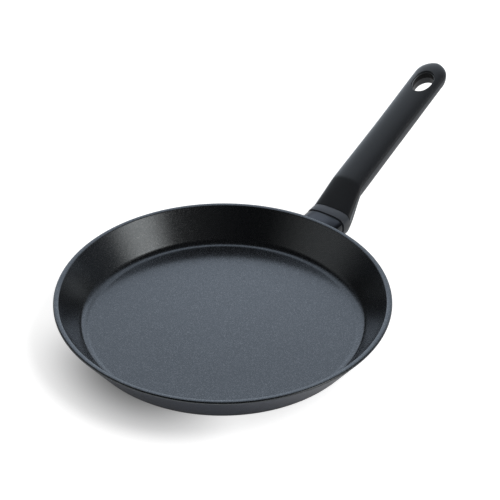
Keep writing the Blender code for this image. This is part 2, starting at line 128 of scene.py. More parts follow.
def applyModifier(piece, kind, **settings):
    useOnly(piece)
    modifier = piece.modifiers.new(kind.title(), kind)
    for setting, value in settings.items():
        setattr(modifier, setting, value)
    bpy.ops.object.modifier_apply(modifier=modifier.name)


def cutWith(piece, cutter):
    applyModifier(piece, "BOOLEAN", operation="DIFFERENCE", solver="EXACT", object=cutter)
    bpy.data.objects.remove(cutter, do_unlink=True)


def softBevel(piece, width, segments, angle):
    applyModifier(
        piece, "BEVEL", width=width * mm, segments=segments, limit_method="ANGLE",
        angle_limit=radians(angle), harden_normals=False, use_clamp_overlap=True,
    )


def smooth(piece, angle=30):
    useOnly(piece)
    bpy.ops.object.shade_smooth_by_angle(angle=radians(angle), keep_sharp_edges=False)


def tidyShell(piece):  # merges doubles and turns faces outwards
    edit(piece)
    bpy.ops.mesh.remove_doubles(threshold=0.0005 * mm)
    bpy.ops.mesh.normals_make_consistent(inside=False)
    bpy.ops.object.mode_set(mode="OBJECT")


def drawLine(name, points):  # extrudes a vertex along (radius, height) points
    deselectAll()
    bpy.ops.mesh.primitive_plane_add(size=1 * mm, location=(0, 0, 0))
    line = added(name)
    edit(line)
    bpy.ops.mesh.merge(type="CENTER")
    radius, height = points[0]
    bpy.ops.transform.translate(value=(radius * mm, 0, height * mm))
    for (fromX, fromZ), (toX, toZ) in zip(points, points[1:]):
        step = ((toX - fromX) * mm, 0, (toZ - fromZ) * mm)
        bpy.ops.mesh.extrude_region_move(TRANSFORM_OT_translate={"value": step})
    bpy.ops.object.mode_set(mode="OBJECT")
    return line


def spinRound(line, steps):  # turns a drawn line about Z into a closed shell
    edit(line)
    bpy.ops.mesh.spin(steps=steps, angle=2 * pi, center=(0, 0, 0), axis=(0, 0, 1))
    tidyShell(line)
    return line


def arcPoints(centreX, centreZ, radius, start, end, steps):
    turns = [start + (end - start) * step / steps for step in range(steps + 1)]
    return [(centreX + radius * cos(turn), centreZ + radius * sin(turn)) for turn in turns]


def wrapGrid(name, across, along, place):  # bends a grid: place(column, row) is each point
    deselectAll()
    bpy.ops.mesh.primitive_grid_add(x_subdivisions=across, y_subdivisions=along, size=1)
    piece = added(name)
    for vertex in piece.data.vertices:
        column = round((vertex.co.x + 0.5) * across)
        row = round((vertex.co.y + 0.5) * along)
        vertex.co = Vector(place(column, row)) * mm
    tidyShell(piece)
    return piece


def closeEnds(piece):  # fills the open ends of a tube
    edit(piece)
    bpy.ops.mesh.select_all(action="DESELECT")
    bpy.ops.mesh.select_non_manifold()
    bpy.ops.mesh.fill_holes(sides=0)
    bpy.ops.object.mode_set(mode="OBJECT")
    tidyShell(piece)


def blend(value, start, end):
    share = min(max((value - start) / (end - start), 0), 1)
    return share * share * (3 - 2 * share)


def between(first, second, share):
    return first + (second - first) * share


# Shader maths

class Link:  # a node's output that can stand in a sum
    def __init__(self, recipe, socket):
        self.recipe = recipe
        self.socket = socket

    def maths(self, operation, *values):
        return self.recipe.node("ShaderNodeMath", {"operation": operation}, dict(enumerate(values)))

    def __add__(self, other):
        return self.maths("ADD", self, other)

    def __radd__(self, other):
        return self.maths("ADD", other, self)

    def __sub__(self, other):
        return self.maths("SUBTRACT", self, other)

    def __rsub__(self, other):
        return self.maths("SUBTRACT", other, self)

    def __mul__(self, other):
        return self.maths("MULTIPLY", self, other)

    def __rmul__(self, other):
        return self.maths("MULTIPLY", other, self)

    def __truediv__(self, other):
        return self.maths("DIVIDE", self, other)

    def __abs__(self):
        return self.maths("ABSOLUTE", self)

    def over(self, edge, soft):  # 0 below the edge, 1 once past it, smooth between
        sockets = {"Value": self, "From Min": edge, "From Max": edge + soft}
        return self.recipe.node("ShaderNodeMapRange", {"interpolation_type": "SMOOTHSTEP"}, sockets)


class Recipe:  # the nodes of one finish, or of the world
    def __init__(self, owner):
        owner.use_nodes = True
        self.tree = owner.node_tree
        self.tree.nodes.clear()

    def node(self, kind, settings, sockets, output=0):  # settings come first, then values or links
        made = self.tree.nodes.new(kind)
        for setting, value in settings.items():
            setattr(made, setting, value)
        for socket, value in sockets.items():
            if isinstance(value, Link):
                self.tree.links.new(value.socket, made.inputs[socket])
            else:
                made.inputs[socket].default_value = value
        return Link(self, made.outputs[output]) if made.outputs else None

    def mixColour(self, share, first, second):
        sockets = {0: share, 6: first, 7: second}
        return self.node("ShaderNodeMix", {"data_type": "RGBA"}, sockets, output=2)

    def place(self, scale=(1, 1, 1)):  # object coordinates, stretched
        where = self.node("ShaderNodeTexCoord", {}, {}, output="Object")
        return self.node("ShaderNodeMapping", {}, {"Vector": where, "Scale": scale})

    def turned(self, where):  # distance from the pan's axis, and height
        parts = [self.node("ShaderNodeSeparateXYZ", {}, {0: where}, output=axis) for axis in (0, 1, 2)]
        square = parts[0] * parts[0] + parts[1] * parts[1]
        return square.maths("SQRT", square), parts[2]

    def noise(self, where, scale, detail, roughness):
        sockets = {"Vector": where, "Scale": scale, "Detail": detail, "Roughness": roughness}
        return self.node("ShaderNodeTexNoise", {}, sockets)

    def cells(self, where, scale):  # distance to the nearest flake, and the flake's own random shade
        settings = {"feature": "F1"}
        sockets = {"Vector": where, "Scale": scale}
        distance = self.node("ShaderNodeTexVoronoi", settings, sockets, output="Distance")
        colour = self.node("ShaderNodeTexVoronoi", settings, sockets, output="Color")
        return distance, self.node("ShaderNodeSeparateColor", {}, {"Color": colour})

    def ray(self, kind):  # 1 for a ray of that kind, 0 for the others
        return self.node("ShaderNodeLightPath", {}, {}, output=kind)

    def bump(self, height, strength, depth):
        sockets = {"Height": height, "Strength": strength, "Distance": depth * mm}
        return self.node("ShaderNodeBump", {}, sockets, output="Normal")

    def surface(self, **sockets):  # the principled shader with what it is fed
        named = {name.replace("_", " "): value for name, value in sockets.items()}
        shader = self.node("ShaderNodeBsdfPrincipled", {}, named)
        self.node("ShaderNodeOutputMaterial", {}, {"Surface": shader})


def newFinish(name):
    material = bpy.data.materials.new(name)
    return material, Recipe(material)


def rgb(red, green, blue):
    return (red, green, blue, 1)


def dimmed(colour, share):
    return rgb(*[share * part for part in colour[:3]])


# Finishes

def coatingFinish():  # dark non-stick coating with fine glinting flakes in a clear top layer
    look = {"colour": rgb(0.0035, 0.0037, 0.0041), "cloudColour": rgb(0.0045, 0.0047, 0.0051),
            "tint": rgb(0.87, 0.95, 1.0), "index": 2.2, "roughness": 0.12, "grainSize": 2300, "cloudSize": 14,
            "flakeSize": 2100, "flakeFrom": 0.62, "flakeFade": 0.18, "flakeRadius": 0.45, "flakeSoft": 0.20,
            "flakeCoat": 1.0, "flakeIndex": 1.9, "flakeRoughness": 0.30,
            "edgeRadius": 121.2, "edgeHalf": 0.45, "edgeSoft": 0.2, "edgeHeight": 29.5, "paintedEdgeShine": 0.26}
    material, recipe = newFinish("nonstickCoating")
    where = recipe.place()
    grain = recipe.noise(where, look["grainSize"], 2, 0.6)
    cloud = recipe.noise(where, look["cloudSize"], 3, 0.5)
    distance, shade = recipe.cells(where, look["flakeSize"])
    flakes = shade.over(look["flakeFrom"], look["flakeFade"])
    flakes = flakes * (1 - distance.over(look["flakeRadius"], look["flakeSoft"])) * look["flakeCoat"]
    radius, height = recipe.turned(where)
    fromEdge = abs(radius - look["edgeRadius"] * mm)  # painted highlight: extra clear coat in a thin ring along the rim's inner edge makes it shine
    edge = (1 - fromEdge.over(look["edgeHalf"] * mm, look["edgeSoft"] * mm)) * look["paintedEdgeShine"]
    edge = edge * height.over(look["edgeHeight"] * mm, 0.1 * mm)
    recipe.surface(
        Base_Color=recipe.mixColour(cloud, look["colour"], look["cloudColour"]),
        Roughness=look["roughness"] + (grain - 0.5) * 0.08 + (cloud - 0.5) * 0.03,
        IOR=look["index"],
        Specular_Tint=look["tint"],
        # clear coat for the flakes, and for the painted highlight along the rim's inner edge
        Coat_Weight=flakes.maths("MAXIMUM", flakes, edge),
        Coat_IOR=look["flakeIndex"],
        Coat_Roughness=look["flakeRoughness"],
        Normal=recipe.bump(shade + grain, 0.45, 0.05),
    )
    return material


def lacquerFinish():  # baked lacquer outside the pan, plainer and a little bluer than the coating
    look = {"colour": rgb(0.0230, 0.0320, 0.0490), "bottomColour": rgb(0.0130, 0.0150, 0.0180),
            "bottomShare": 0.7, "bottomFrom": 2, "bottomFade": 9, "index": 2.15,
            "tint": rgb(0.74, 0.81, 1.0), "roughness": 0.20, "grainSize": 1400, "cloudSize": 22}
    material, recipe = newFinish("outerLacquer")
    where = recipe.place()
    grain = recipe.noise(where, look["grainSize"], 3, 0.6)
    cloud = recipe.noise(where, look["cloudSize"], 3, 0.55)
    _, height = recipe.turned(where)
    # the lacquer turns darker and a little rougher towards the bottom of the outer wall
    nearBottom = 1 - height.over(look["bottomFrom"] * mm, look["bottomFade"] * mm)
    recipe.surface(
        Base_Color=recipe.mixColour(nearBottom * look["bottomShare"], look["colour"], look["bottomColour"]),
        Roughness=look["roughness"] + (grain - 0.5) * 0.10 + (cloud - 0.5) * 0.08 + nearBottom * 0.05,
        IOR=look["index"],
        Specular_Tint=look["tint"],
        Normal=recipe.bump(grain, 0.35, 0.04),
    )
    return material


def turnedFinish(name, look):  # metal with the fine rings of a lathe
    material, recipe = newFinish(name)
    radius, _ = recipe.turned(recipe.place())
    phase = radius * (2 * pi / (look["pitch"] * mm))
    ring = phase.maths("SINE", phase)
    scuffs = recipe.noise(recipe.place(), look["scuffSize"], 4, 0.65)
    worn = scuffs.over(0.45, 0.3) * 0.5
    recipe.surface(
        Base_Color=recipe.mixColour(worn, look["colour"], dimmed(look["colour"], 0.8)),
        Metallic=1.0,
        Roughness=look["roughness"] + ring * 0.05 + (scuffs - 0.5) * 0.2,
        Normal=recipe.bump(ring, 0.25, 0.02),
    )
    return material


def brushedFinish():  # drawn sleeve, brushed around
    look = {"colour": rgb(0.056, 0.060, 0.067), "dusty": rgb(0.047, 0.051, 0.057), "roughness": 0.16,
            "brushing": (2600, 60, 60), "dustSize": 220}
    material, recipe = newFinish("satinGuard")
    lines = recipe.noise(recipe.place(look["brushing"]), 1, 3, 0.6)
    dust = recipe.noise(recipe.place(), look["dustSize"], 3, 0.5)
    recipe.surface(
        Base_Color=recipe.mixColour(dust.over(0.4, 0.4) * 0.4, look["colour"], look["dusty"]),
        Metallic=1.0,
        Roughness=look["roughness"] + (lines - 0.5) * 0.16,
        Normal=recipe.bump(lines, 0.15, 0.03),
    )
    return material


def plasticFinish(name, look):  # moulded plastic with a fine grain, and a cool sheen where it is soft to the touch
    material, recipe = newFinish(name)
    where = recipe.place()
    grain = recipe.noise(where, look["grainSize"], 4, 0.6)
    cloud = recipe.noise(where, 35, 3, 0.5)
    recipe.surface(
        Base_Color=recipe.mixColour(cloud.over(0.45, 0.3) * 0.35, look["colour"], look["worn"]),
        Roughness=look["roughness"] + (grain - 0.5) * 0.14 + (cloud - 0.5) * 0.06,
        IOR=look["index"],
        Sheen_Weight=look["sheen"],
        Sheen_Roughness=0.4,
        Sheen_Tint=rgb(0.84, 0.93, 1.0),
        Normal=recipe.bump(grain, 0.3, look["grainDepth"]),
    )
    return material


def castFinish(name, look):  # blasted or zinc plated metal
    material, recipe = newFinish(name)
    where = recipe.place()
    grain = recipe.noise(where, look["grainSize"], 4, 0.6)
    stain = recipe.noise(where, look["stainSize"], 3, 0.6)
    stained = stain.over(0.4, 0.4) * 0.5
    recipe.surface(
        Base_Color=recipe.mixColour(stained, look["colour"], dimmed(look["colour"], 0.75)),
        Metallic=1.0,
        Roughness=look["roughness"] + (grain - 0.5) * 0.25,
        Normal=recipe.bump(grain, 0.3, 0.05),
    )
    return material


coating = coatingFinish()
lacquer = lacquerFinish()
guardMetal = brushedFinish()
bareBase = turnedFinish("turnedAluminium", {
    "colour": rgb(0.66, 0.67, 0.69), "roughness": 0.30, "pitch": 0.35, "scuffSize": 90,
})
plateSteel = turnedFinish("turnedSteel", {
    "colour": rgb(0.42, 0.42, 0.43), "roughness": 0.34, "pitch": 0.25, "scuffSize": 90,
})
corePlastic = plasticFinish("handleCorePlastic", {
    "colour": rgb(0.036, 0.040, 0.047), "worn": rgb(0.041, 0.046, 0.053), "roughness": 0.32, "index": 1.5,
    "sheen": 0.06, "grainSize": 1700, "grainDepth": 0.05,
})
# painted shade: a near-black plastic for the shaded upper wall of the hanging hole
holeShadePlastic = plasticFinish("holeWallShadePlastic", {
    "colour": rgb(0.004, 0.0042, 0.0047), "worn": rgb(0.006, 0.0062, 0.0068), "roughness": 0.45,
    "index": 1.25, "sheen": 0.0, "grainSize": 1500, "grainDepth": 0.05,
})
coverPlastic = plasticFinish("softCoverPlastic", {
    "colour": rgb(0.0095, 0.0105, 0.0127), "worn": rgb(0.0120, 0.0132, 0.0155), "roughness": 0.37,
    "index": 1.50, "sheen": 1.0, "grainSize": 1500, "grainDepth": 0.06,
})
bossMetal = castFinish("castAluminium", {
    "colour": rgb(0.62, 0.62, 0.64), "roughness": 0.42, "grainSize": 1800, "stainSize": 160,
})
zincSteel = castFinish("zincSteel", {
    "colour": rgb(0.55, 0.55, 0.57), "roughness": 0.30, "grainSize": 1800, "stainSize": 160,
})
print("finishes mixed")


def dress(piece, material, nodeName):
    piece.data.materials.clear()
    piece.data.materials.append(material)
    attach(piece, "root")
    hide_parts(nodeName)


# Pan body: one drawn profile turned about the pan's axis

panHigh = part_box("pan_body")[1]
pan = {"rimRadius": panHigh[1] / mm, "rimHeight": panHigh[2] / mm, "rimLand": 3.8, "rimRound": 1.2,
       "rimFace": 0.3, "innerEdge": 0.45, "edgeTurnX": 0.2, "edgeTurnZ": 0.25, "bowlDepth": 26.0,
       "wallSpread": 16.6, "wallFoot": 2.35, "floorFillet": 9.0, "floorRing": 0.6, "wallRings": (0.03, 0.97),
       "outerRingDrop": 0.8, "outerRingLow": 5.5, "baseRound": 8.0, "baseLand": 3.7, "plateThickness": 0.6,
       "plateEdge": 0.12, "recessEdge": 0.15, "bareBelow": 1.2, "gap": 0.3,
       "spinSteps": 256, "roundSteps": 12}
pan["floorZ"] = pan["rimHeight"] - pan["bowlDepth"]
pan["innerRim"] = pan["rimRadius"] - pan["rimLand"]
pan["floorRadius"] = pan["innerRim"] - pan["wallSpread"]
pan["edgeDrop"] = pan["rimRound"] + pan["rimFace"]
pan["wallRun"] = pan["rimRadius"] - pan["floorRadius"] - pan["wallFoot"]
pan["lean"] = pan["wallRun"] / (pan["bowlDepth"] - pan["edgeDrop"])
pan["wallGap"] = pan["gap"] * hypot(1, pan["lean"])  # level gap that leaves 0.3 mm square to the wall
pan["baseRadius"] = pan["floorRadius"] + pan["wallFoot"] - pan["lean"] * pan["floorZ"]
pan["baseFlat"] = pan["baseRadius"] - pan["baseRound"] * tan(atan2(1, pan["lean"]) / 2)
pan["plateRadius"] = pan["baseFlat"] - pan["baseLand"] - pan["gap"]
holes = {"radius": 2.6, "firstRing": 26.0, "edgeMargin": 8.0, "rings": 5, "firstCount": 8, "countStep": 4,
         "pegRoot": 0.6, "faceInset": 0.25, "overshoot": 1, "sides": 24}
holes["ringStep"] = (pan["plateRadius"] - holes["edgeMargin"] - holes["firstRing"]) / (holes["rings"] - 1)


def outerWall(height):  # radius of the outer wall at a height, in millimetres
    return pan["baseRadius"] + pan["lean"] * height


def bowlLine():  # floor centre, fillet, wall, rim, outer wall, base
    quarter = pi / 2
    steps = pan["roundSteps"]
    wallTurn = atan2(pan["bowlDepth"], pan["wallSpread"])
    filletX = pan["floorRadius"] - pan["floorFillet"] * tan(wallTurn / 2)
    filletZ = pan["floorZ"] + pan["floorFillet"]
    points = [(0, pan["floorZ"]), (filletX * pan["floorRing"], pan["floorZ"])]
    points += arcPoints(filletX, filletZ, pan["floorFillet"], -quarter, wallTurn - quarter, 2 * steps)
    edge = pan["innerEdge"]
    edgeStart = (pan["innerRim"] - edge * cos(wallTurn), pan["rimHeight"] - edge * sin(wallTurn))
    for share in pan["wallRings"]:  # rings that keep the wall's shading straight
        points.append(tuple(between(foot, top, share) for foot, top in zip(points[-1], edgeStart)))
    points.append(edgeStart)
    points.append((pan["innerRim"] + edge * pan["edgeTurnX"], pan["rimHeight"] - edge * pan["edgeTurnZ"]))
    points.append((pan["innerRim"] + edge, pan["rimHeight"]))
    roundX = pan["rimRadius"] - pan["rimRound"]
    points += arcPoints(roundX, pan["rimHeight"] - pan["rimRound"], pan["rimRound"], quarter, 0, steps)
    faceEnd = pan["rimHeight"] - pan["edgeDrop"]
    points.append((pan["rimRadius"], faceEnd))
    wallEnd = atan2(1, pan["lean"]) - quarter
    for height in (faceEnd - pan["outerRingDrop"], pan["outerRingLow"]):
        points.append((outerWall(height), height))
    points += arcPoints(pan["baseFlat"], pan["baseRound"], pan["baseRound"], wallEnd, -quarter, steps)
    recessX = pan["plateRadius"] + pan["gap"]
    recessZ = pan["plateThickness"] + pan["gap"]
    edge = pan["recessEdge"]
    points += [(recessX + edge, 0), (recessX, edge), (recessX, recessZ), (recessX / 2, recessZ), (0, recessZ)]
    return points


def makePan():
    body = spinRound(drawLine("panShell", bowlLine()), pan["spinSteps"])
    smooth(body, 25)
    dress(body, coating, "pan_body")
    body.data.materials.append(bareBase)
    body.data.materials.append(lacquer)
    bareEdge = pan["baseFlat"] * mm
    rimEdge = (pan["rimHeight"] - pan["edgeDrop"]) * mm
    for face in body.data.polygons:
        radius = hypot(face.center.x, face.center.y)
        under = face.center.z < pan["bareBelow"] * mm and radius < bareEdge
        outside = face.center.z < rimEdge and face.normal.z < 0.2 and not under
        face.material_index = 1 if under else 2 if outside else 0


def pegPlaces():
    places = []
    for ring in range(holes["rings"]):
        radius = holes["firstRing"] + holes["ringStep"] * ring
        count = holes["firstCount"] + holes["countStep"] * ring
        for step in range(count):
            turn = 2 * pi * (step + 0.5 * (ring % 2)) / count
            places.append((radius * cos(turn), radius * sin(turn)))
    return places


def studs(name, radius, low, high):  # one round stud at every hole of the plate
    deselectAll()
    middle = (low + high) / 2
    bpy.ops.mesh.primitive_cylinder_add(
        vertices=holes["sides"], radius=radius * mm, depth=(high - low) * mm, location=(0, 0, middle * mm),
    )
    first = added(name)
    settle(first)
    pick(first, "FACE", lambda normal: normal.z < -0.9)
    bpy.ops.mesh.inset(thickness=holes["faceInset"] * mm, depth=0)
    bpy.ops.object.mode_set(mode="OBJECT")
    copies = []
    for x, y in pegPlaces():
        copy = copyOf(first, name)
        copy.data.transform(Matrix.Translation((x * mm, y * mm, 0)))
        copies.append(copy)
    bpy.data.objects.remove(first, do_unlink=True)
    return joined(copies, name)


def makeBase():
    pegTop = pan["plateThickness"] + pan["gap"] + holes["pegRoot"]
    pegs = studs("bodyPegs", holes["radius"], 0, pegTop)
    smooth(pegs, 30)
    dress(pegs, bareBase, "pan_body")
    deselectAll()
    bpy.ops.mesh.primitive_cylinder_add(
        vertices=pan["spinSteps"], radius=pan["plateRadius"] * mm, depth=pan["plateThickness"] * mm,
        location=(0, 0, pan["plateThickness"] / 2 * mm),
    )
    plate = added("inductionPlate")
    settle(plate)
    softBevel(plate, pan["plateEdge"], 2, 60)
    over = holes["overshoot"]
    cutWith(plate, studs("platePunch", holes["radius"] + pan["gap"], -over, pan["plateThickness"] + over))
    smooth(plate, 30)
    dress(plate, plateSteel, "induction_plate")


makePan()
makeBase()
print("pan body, pegs and induction plate turned")


# Handle: sections along X, as the core and the cover share them

handle = {"bandLine": 1.1, "bandLength": 8.6, "bellyLength": 3.0, "neckLength": 22.0, "kinkOffset": 4.0,
          "waistOffset": 58.0, "gripLength": 140.5, "tipRound": 13.0, "slope": radians(18.9),
          "bandDrop": 2.0, "bandRise": 0.5, "neckRise": 17.08, "bandBottom": 5.4, "bellyBottom": 3.6,
          "bandCrown": 9.0, "gripCrown": 5.8, "kinkDepth": 13.8, "waistDepth": 13.5, "tipDepth": 10.5,
          "bandHalf": 17.5, "creaseHalf": 13.8, "gripHalf": 13.5, "tipHalf": 14.1,
          "bandUpper": 3.2, "gripUpper": 2.05, "bandLower": 2.3, "gripLower": 2.6,
          "tipCrown": 0.35, "tipLower": 0.55, "creaseSoftness": 0.5, "creaseReach": 3,
          "cover": 2.4, "coverTip": 0.4, "spigotLength": 5, "edge": 0.35, "gap": 0.3,
          "arcSteps": 48, "neckSteps": 20, "gripSteps": 60, "tipSteps": 24, "tipTurn": 1.374}
guard = {"wall": 1.2, "setback": 0.5, "endX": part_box("flame_guard")[1][0] / mm, "lip": 0.5, "lipSteps": 3}
guard["inside"] = guard["setback"] + guard["wall"]
guard["spigotInset"] = guard["inside"] + handle["gap"]
handle["startX"] = guard["endX"] + handle["bandLine"]
handle["bandEnd"] = handle["startX"] + handle["bandLength"]
handle["turnX"] = handle["bandEnd"] + handle["bellyLength"]
handle["creaseX"] = handle["bandEnd"] + handle["neckLength"]
handle["kinkX"] = handle["creaseX"] + handle["kinkOffset"]
handle["waistX"] = handle["kinkX"] + handle["waistOffset"]
handle["tipX"] = handle["creaseX"] + handle["gripLength"]
handle["tipStart"] = handle["tipX"] - handle["tipRound"]
handle["bandTop"] = pan["rimHeight"] - handle["bandDrop"]
handle["creaseTop"] = handle["bandTop"] + handle["bandRise"] + handle["neckRise"]
handle["axisZ"] = (handle["bandTop"] + handle["bandBottom"]) / 2


def tipShare(x):  # 1 along the grip, 0 at the very tip
    reach = min(max(x - handle["tipStart"], 0) / handle["tipRound"], 1)
    return sqrt(max(1 - reach * reach, 0))


def topHeight(x):
    bandEnd = handle["bandTop"] + handle["bandRise"]
    share = (x - handle["bandEnd"]) / handle["neckLength"]
    if share < 0:
        start = max((x - handle["startX"]) / handle["bandLength"], 0)
        return between(handle["bandTop"], bandEnd, start)
    neck = between(bandEnd, handle["creaseTop"], share)
    grip = handle["creaseTop"] + tan(handle["slope"]) * (x - handle["creaseX"])
    return (neck + grip - hypot(neck - grip, handle["creaseSoftness"])) / 2


def crown(x):
    return between(handle["bandCrown"], handle["gripCrown"], blend(x, handle["bandEnd"], handle["creaseX"]))


def partingHeight(x):
    return topHeight(x) - crown(x)


def lowerDepth(x):
    kinkX = handle["kinkX"]
    turnX = handle["turnX"]
    if x < kinkX:
        kinkBottom = partingHeight(kinkX) - handle["kinkDepth"]
        belly = between(handle["bandBottom"], handle["bellyBottom"], blend(x, handle["startX"], turnX))
        return partingHeight(x) - between(belly, kinkBottom, blend(x, turnX, kinkX))
    depth = between(handle["kinkDepth"], handle["waistDepth"], blend(x, kinkX, handle["waistX"]))
    return between(depth, handle["tipDepth"], blend(x, handle["waistX"], handle["tipStart"]))


def halfWidth(x):
    along = min(max((x - handle["bandEnd"]) / handle["neckLength"], 0), 1)
    neck = between(handle["bandHalf"], handle["creaseHalf"], along)
    grip = between(neck, handle["gripHalf"], blend(x, handle["creaseX"], handle["waistX"]))
    return between(grip, handle["tipHalf"], blend(x, handle["waistX"], handle["tipStart"]))


def archPoint(x, shapeX, turn, inset, lower, lift=0):  # a point of the section, turn from +Y over to -Y
    share = tipShare(shapeX)
    width = halfWidth(shapeX) * share - inset
    base = partingHeight(shapeX) + lift
    alongNeck = blend(shapeX, handle["bandEnd"], handle["creaseX"])
    if lower:
        height = inset - lowerDepth(shapeX) * between(handle["tipLower"], 1, share)
        power = between(handle["bandLower"], handle["gripLower"], alongNeck)
    else:
        height = crown(shapeX) * between(handle["tipCrown"], 1, share) - inset - lift
        power = between(handle["bandUpper"], handle["gripUpper"], alongNeck)
    across = copysign(abs(cos(turn)) ** (2 / power), cos(turn))
    rise = max(sin(turn), 0) ** (2 / power)
    side = -across if lower else across
    return (x, width * side, base + height * rise)


def coverDepth(x):
    return min(handle["cover"], handle["coverTip"] * halfWidth(x) * tipShare(x))


def stationsFrom(start):  # positions along the handle, closer at the crease and the tip
    creaseStart = handle["creaseX"] - handle["creaseReach"]
    creaseEnd = handle["kinkX"] + handle["creaseReach"]
    neckSteps = handle["neckSteps"]
    gripSteps = handle["gripSteps"]
    tipSteps = handle["tipSteps"]
    stations = [between(start, creaseStart, step / neckSteps) for step in range(neckSteps)]
    stations += [between(creaseStart, creaseEnd, step / neckSteps) for step in range(neckSteps)]
    stations += [between(creaseEnd, handle["tipStart"], step / gripSteps) for step in range(gripSteps + 1)]
    turns = [handle["tipTurn"] * step / tipSteps for step in range(1, tipSteps + 1)]
    stations += [handle["tipStart"] + handle["tipRound"] * sin(turn) for turn in turns]
    return stations


# the hanging hole; shadeRise and shadeReach place the painted shade on its wall
hole = {"setback": 22.5, "tipReach": 10.6, "panReach": 13.0, "half": 8.2, "topRound": 1.0, "bottomRound": 3.0,
        "edgeFall": 1.2, "shadeRise": 5.0, "shadeReach": 0.6, "sides": 96, "roundSteps": 8, "margin": 4.0}
hole["centreX"] = handle["tipX"] - hole["setback"]
hole["centreZ"] = partingHeight(hole["centreX"])
hole["top"] = crown(hole["centreX"]) - hole["edgeFall"]
hole["bottom"] = -lowerDepth(hole["centreX"]) * cos(handle["slope"])


def eggPoint(turn, widen, level):  # outline of the hanging hole, square to the grip
    reach = hole["tipReach"] if cos(turn) > 0 else hole["panReach"]
    along = (reach + widen) * cos(turn)
    across = (hole["half"] + widen) * sin(turn)
    tilt = handle["slope"]
    x = hole["centreX"] + along * cos(tilt) - level * sin(tilt)
    z = hole["centreZ"] + along * sin(tilt) + level * cos(tilt)
    return x, across, z


def holeCutter():
    top = hole["top"]
    bottom = hole["bottom"]
    topRound = hole["topRound"]
    bottomRound = hole["bottomRound"]
    turns = [pi / 2 * step / hole["roundSteps"] for step in range(hole["roundSteps"] + 1)]
    rings = [(bottomRound, bottom - hole["margin"])]
    rings += [(bottomRound * (1 - sin(turn)), bottom + bottomRound * (1 - cos(turn))) for turn in turns]
    # a ring of the cutter at the height where the painted shade on the hole's wall starts
    rings.append((0, bottom + bottomRound + hole["shadeRise"]))
    rings += [(topRound * (1 - cos(turn)), top - topRound * (1 - sin(turn))) for turn in turns]
    rings.append((topRound, top + hole["margin"]))

    def place(column, row):
        widen, level = rings[row]
        return eggPoint(2 * pi * column / hole["sides"], widen, level)

    cutter = wrapGrid("holeCutter", hole["sides"], len(rings) - 1, place)
    closeEnds(cutter)
    return cutter


def shadeHoleWall(core):  # painted shade: the upper part of the hole's wall gets a much darker plastic than the rest of the core
    core.data.materials.append(holeShadePlastic)
    tilt = handle["slope"]
    margin = hole["shadeReach"]
    shadeStart = hole["bottom"] + hole["bottomRound"] + hole["shadeRise"]
    for face in core.data.polygons:
        fromX = face.center.x / mm - hole["centreX"]
        fromZ = face.center.z / mm - hole["centreZ"]
        along = fromX * cos(tilt) + fromZ * sin(tilt)
        level = fromZ * cos(tilt) - fromX * sin(tilt)
        reach = hole["tipReach"] if along > 0 else hole["panReach"]
        inside = hypot(along / (reach + margin), face.center.y / mm / (hole["half"] + margin)) < 1
        face.material_index = 1 if inside and level > shadeStart else 0


def makeCover():
    steps = handle["arcSteps"]
    stations = stationsFrom(handle["bandEnd"] + handle["gap"])
    across = 2 * steps + 2

    def place(column, row):
        x = stations[row]
        column = column % across
        if column <= steps:
            return archPoint(x, x, pi * column / steps, 0, False, handle["gap"])
        back = across - 1 - column
        return archPoint(x, x, pi * back / steps, coverDepth(x), False, handle["gap"])

    cover = wrapGrid("gripCover", across, len(stations) - 1, place)
    closeEnds(cover)
    softBevel(cover, handle["edge"], 3, 50)
    cutWith(cover, holeCutter())
    smooth(cover, 30)
    dress(cover, coverPlastic, "grip_cover")


def makeCore():
    steps = handle["arcSteps"]
    inset = guard["spigotInset"]
    startX = handle["startX"]
    rows = [(startX - handle["spigotLength"], startX, inset, False), (startX, startX, inset, False)]
    rows += [(startX, startX, 0, False), (handle["bandEnd"], handle["bandEnd"], 0, False)]
    rows += [(x, x, coverDepth(x) + handle["gap"], True) for x in stationsFrom(handle["bandEnd"])]
    across = 2 * steps + 2

    def place(column, row):
        x, shapeX, depth, underCover = rows[row]
        column = column % across
        if column <= steps:
            return archPoint(x, shapeX, pi * column / steps, depth, False)
        below = 0 if underCover else depth
        return archPoint(x, shapeX, pi * (column - steps - 1) / steps, below, True)

    core = wrapGrid("handleCore", across, len(rows) - 1, place)
    closeEnds(core)
    softBevel(core, handle["edge"], 3, 50)
    cutWith(core, holeCutter())
    cutSocket(core)
    smooth(core, 30)
    dress(core, corePlastic, "handle_core")
    shadeHoleWall(core)


fixing = {"screwRadius": 2.5, "seatWeb": 5.7, "bossReach": 2.7, "bossWidth": 18.0, "spigotWall": 2.5,
          "socketLength": 9, "socketRound": 2.0, "boreOverlap": 2, "pocketRadius": 6.3, "pocketReach": 4,
          "gap": 0.3}


def roundBar(name, startX, endX, radius, sides):  # a cylinder on the screw's axis
    deselectAll()
    bpy.ops.mesh.primitive_cylinder_add(
        vertices=sides, radius=radius * mm, depth=(endX - startX) * mm,
        location=((startX + endX) / 2 * mm, 0, handle["axisZ"] * mm), rotation=(0, pi / 2, 0),
    )
    bar = added(name)
    settle(bar)
    return bar


